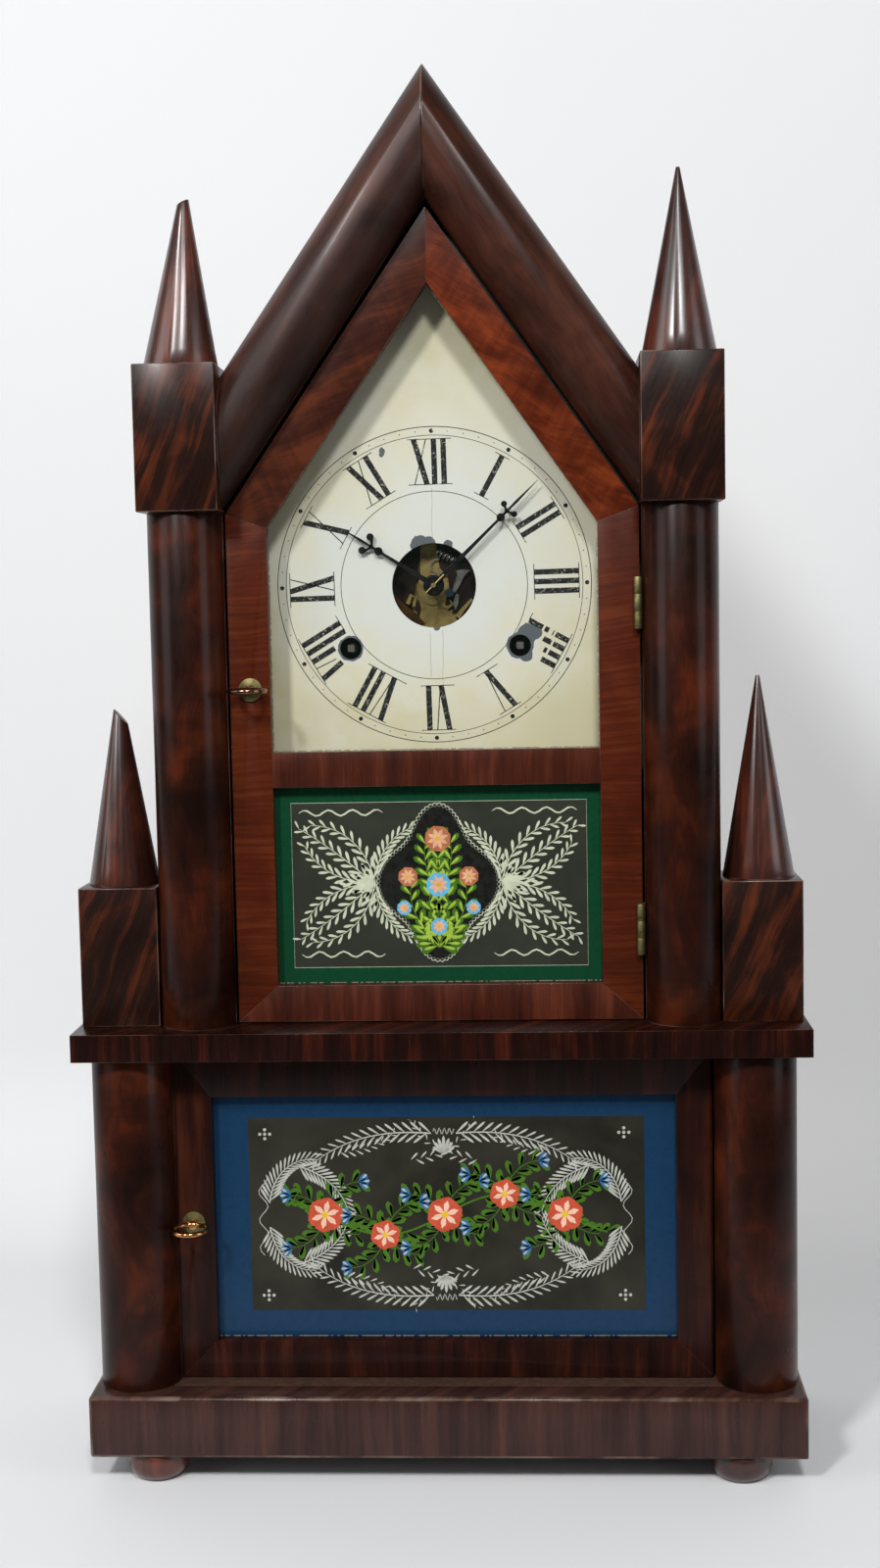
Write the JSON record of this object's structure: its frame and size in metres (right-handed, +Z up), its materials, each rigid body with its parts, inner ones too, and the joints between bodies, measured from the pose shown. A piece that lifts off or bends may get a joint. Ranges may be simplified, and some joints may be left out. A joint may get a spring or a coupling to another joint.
{
  "type": "steeple clock",
  "caption": "Double-steeple shelf clock: mahogany gabled case in two tiers with conical spires, half-round columns, two painted-glass doors, a dial and a spring-driven striking movement.",
  "frame": {"origin": "on the table, under the middle of the clock's outer box", "axes": "+X to the right seen from the front, +Y from the dial to the back, +Z up"},
  "size_m": [0.3448, 0.118, 0.661],
  "materials": {
    "dark_mahogany": "satin shellac over dark mahogany veneer",
    "red_mahogany": "satin shellac over red-brown mahogany veneer",
    "black_mahogany": "satin shellac over near-black flame mahogany",
    "pine": "bare aged softwood",
    "dial_paint": "aged ivory oil paint on zinc sheet",
    "brass": "aged, lightly tarnished",
    "old_brass": "dull olive tarnish",
    "steel": "plain drawn steel",
    "blued_steel": "blued and dulled",
    "iron": "dull dark iron",
    "spring_steel": "dark tempered steel",
    "clear_glass": "clear old sheet glass",
    "upper_painting": "sheet glass painted on its back",
    "lower_painting": "sheet glass painted on its back",
    "cord": "twisted natural cord"
  },
  "bodies": {
    "case": {"bun_feet": "dark_mahogany", "base_boards": "dark_mahogany", "base_floor": "pine", "lower_backboard": "pine", "face_stiles": "dark_mahogany", "side_boards": "dark_mahogany", "lower_columns": "dark_mahogany", "waist_shelf": "dark_mahogany", "spire_blocks": "black_mahogany", "spires": "dark_mahogany", "upper_backboard": "pine", "upper_columns": "dark_mahogany", "gable_face_boards": "dark_mahogany", "gable_mouldings": "dark_mahogany", "roof_boards": "dark_mahogany", "dial": "dial_paint", "latch_keepers": "old_brass", "hinge_case_leaves": "old_brass", "front_plate": "brass", "back_plate": "brass", "plate_pillars": "brass", "movement_battens": "pine", "gong": "spring_steel", "spring_irons": "iron", "leaf_spring": "spring_steel", "draw_cords": "cord"},
    "upper_door": {"upper_door_stiles": "red_mahogany", "upper_door_gable_rails": "red_mahogany", "upper_door_cross_rails": "red_mahogany", "upper_glass": "clear_glass", "upper_tablet": "upper_painting", "hinge_door_leaves": "old_brass"},
    "upper_latch": {"upper_latch": "brass"},
    "lower_door": {"lower_door_stiles": "red_mahogany", "lower_door_rails": "red_mahogany", "lower_tablet": "lower_painting", "lower_door_pins": "steel"},
    "lower_latch": {"lower_latch": "brass"},
    "time_drum": {"time_drum": "brass"},
    "strike_drum": {"strike_drum": "brass"},
    "time_great_wheel": {"time_great_wheel": "brass"},
    "strike_great_wheel": {"strike_great_wheel": "brass"},
    "time_second_wheel": {"time_second_wheel": "brass"},
    "strike_second_wheel": {"strike_second_wheel": "brass"},
    "centre_wheel": {"centre_wheel": "brass", "hand_pin": "brass"},
    "third_wheel": {"third_wheel": "brass"},
    "escape_wheel": {"escape_wheel": "brass"},
    "pin_wheel": {"pin_wheel": "brass"},
    "fly": {"fly": "brass"},
    "minute_hand": {"minute_hand": "blued_steel"},
    "hour_hand": {"hour_hand": "blued_steel", "hour_wheel": "brass"},
    "minute_wheel": {"minute_wheel": "brass"},
    "verge": {"verge": "steel"},
    "pendulum": {"pendulum_rod": "steel", "pendulum_bob": "brass"},
    "hammer": {"hammer": "steel"},
    "time_lever": {"time_lever": "iron"},
    "strike_lever": {"strike_lever": "iron"}
  },
  "joints": [
    {"name": "upper_door_hinge", "type": "hinge", "parent": "case", "child": "upper_door", "pos_m": [0.0954, -0.037, 0.34], "axis": [0, 0, 1], "range_deg": [0, 90]},
    {"name": "upper_latch_turn", "type": "hinge", "parent": "upper_door", "child": "upper_latch", "pos_m": [-0.0865, -0.034, 0.3775], "axis": [0, 1, 0], "range_deg": [0, 90]},
    {"name": "lower_door_hinge", "type": "hinge", "parent": "case", "child": "lower_door", "pos_m": [0.1261, -0.0315, 0.125], "axis": [0, 0, 1], "range_deg": [0, 90]},
    {"name": "lower_latch_turn", "type": "hinge", "parent": "lower_door", "child": "lower_latch", "pos_m": [-0.121, -0.034, 0.121], "axis": [0, 1, 0], "range_deg": [0, 90]},
    {"name": "minute_turn", "type": "hinge", "parent": "case", "child": "minute_hand", "pos_m": [0, 0, 0.425], "axis": [0, 1, 0], "continuous": true},
    {"name": "minute_wheel_turn", "type": "hinge", "parent": "case", "child": "minute_wheel", "pos_m": [0, 0, 0.407], "axis": [0, 1, 0], "continuous": true},
    {"name": "hour_turn", "type": "hinge", "parent": "case", "child": "hour_hand", "pos_m": [0, 0, 0.425], "axis": [0, 1, 0], "continuous": true},
    {"name": "third_turn", "type": "hinge", "parent": "case", "child": "third_wheel", "pos_m": [0.012, 0, 0.44578], "axis": [0, 1, 0], "continuous": true},
    {"name": "centre_turn", "type": "hinge", "parent": "case", "child": "centre_wheel", "pos_m": [0, 0, 0.425], "axis": [0, 1, 0], "continuous": true},
    {"name": "time_second_turn", "type": "hinge", "parent": "case", "child": "time_second_wheel", "pos_m": [0.02381, 0, 0.42199], "axis": [0, 1, 0], "continuous": true},
    {"name": "time_great_turn", "type": "hinge", "parent": "case", "child": "time_great_wheel", "pos_m": [0.0404, 0, 0.3958], "axis": [0, 1, 0], "continuous": true},
    {"name": "escape_turn", "type": "hinge", "parent": "case", "child": "escape_wheel", "pos_m": [0, 0, 0.46084], "axis": [0, 1, 0], "continuous": true},
    {"name": "pin_wheel_turn", "type": "hinge", "parent": "case", "child": "pin_wheel", "pos_m": [-0.03002, 0, 0.44517], "axis": [0, 1, 0], "continuous": true},
    {"name": "strike_second_turn", "type": "hinge", "parent": "case", "child": "strike_second_wheel", "pos_m": [-0.02381, 0, 0.42199], "axis": [0, 1, 0], "continuous": true},
    {"name": "strike_great_turn", "type": "hinge", "parent": "case", "child": "strike_great_wheel", "pos_m": [-0.0404, 0, 0.3958], "axis": [0, 1, 0], "continuous": true},
    {"name": "fly_turn", "type": "hinge", "parent": "case", "child": "fly", "pos_m": [-0.02368, 0, 0.4626], "axis": [0, 1, 0], "continuous": true},
    {"name": "time_winding", "type": "hinge", "parent": "case", "child": "time_drum", "pos_m": [0.0404, 0, 0.3958], "axis": [0, 1, 0], "range_deg": [0, 600], "deforming": ["draw_cords", "leaf_spring"]},
    {"name": "time_lever_lift", "type": "hinge", "parent": "case", "child": "time_lever", "pos_m": [0.11941, 0.0003, 0.095], "axis": [0, 1, 0], "range_deg": [0, 50]},
    {"name": "strike_winding", "type": "hinge", "parent": "case", "child": "strike_drum", "pos_m": [-0.0404, 0, 0.3958], "axis": [0, -1, 0], "range_deg": [0, 600]},
    {"name": "strike_lever_lift", "type": "hinge", "parent": "case", "child": "strike_lever", "pos_m": [-0.11941, 0.0003, 0.095], "axis": [0, -1, 0], "range_deg": [0, 50]},
    {"name": "pendulum_swing", "type": "hinge", "parent": "case", "child": "pendulum", "pos_m": [0, 0.028, 0.4825], "axis": [0, 1, 0], "range_deg": [-4.5, 4.5]},
    {"name": "verge_rock", "type": "hinge", "parent": "case", "child": "verge", "pos_m": [0, 0.0224, 0.4825], "axis": [0, 1, 0], "range_deg": [-4.5, 4.5]},
    {"name": "hammer_lift", "type": "hinge", "parent": "case", "child": "hammer", "pos_m": [-0.052, 0.0405, 0.387], "axis": [0, 1, 0], "range_deg": [0, 12]}
  ],
  "couplings": [
    {"joint": "minute_wheel_turn", "follows": "minute_turn", "ratio": -0.33333},
    {"joint": "hour_turn", "follows": "minute_turn", "ratio": 0.083333},
    {"joint": "centre_turn", "follows": "third_turn", "ratio": -0.2},
    {"joint": "time_second_turn", "follows": "third_turn", "ratio": 0.04},
    {"joint": "time_great_turn", "follows": "third_turn", "ratio": -0.0076923},
    {"joint": "escape_turn", "follows": "third_turn", "ratio": -4.5},
    {"joint": "strike_second_turn", "follows": "pin_wheel_turn", "ratio": -0.2},
    {"joint": "strike_great_turn", "follows": "pin_wheel_turn", "ratio": 0.038462},
    {"joint": "fly_turn", "follows": "pin_wheel_turn", "ratio": -5.625},
    {"joint": "time_lever_lift", "follows": "time_winding", "ratio": 0.083333},
    {"joint": "strike_lever_lift", "follows": "strike_winding", "ratio": 0.083333},
    {"joint": "verge_rock", "follows": "pendulum_swing", "ratio": 1}
  ]
}
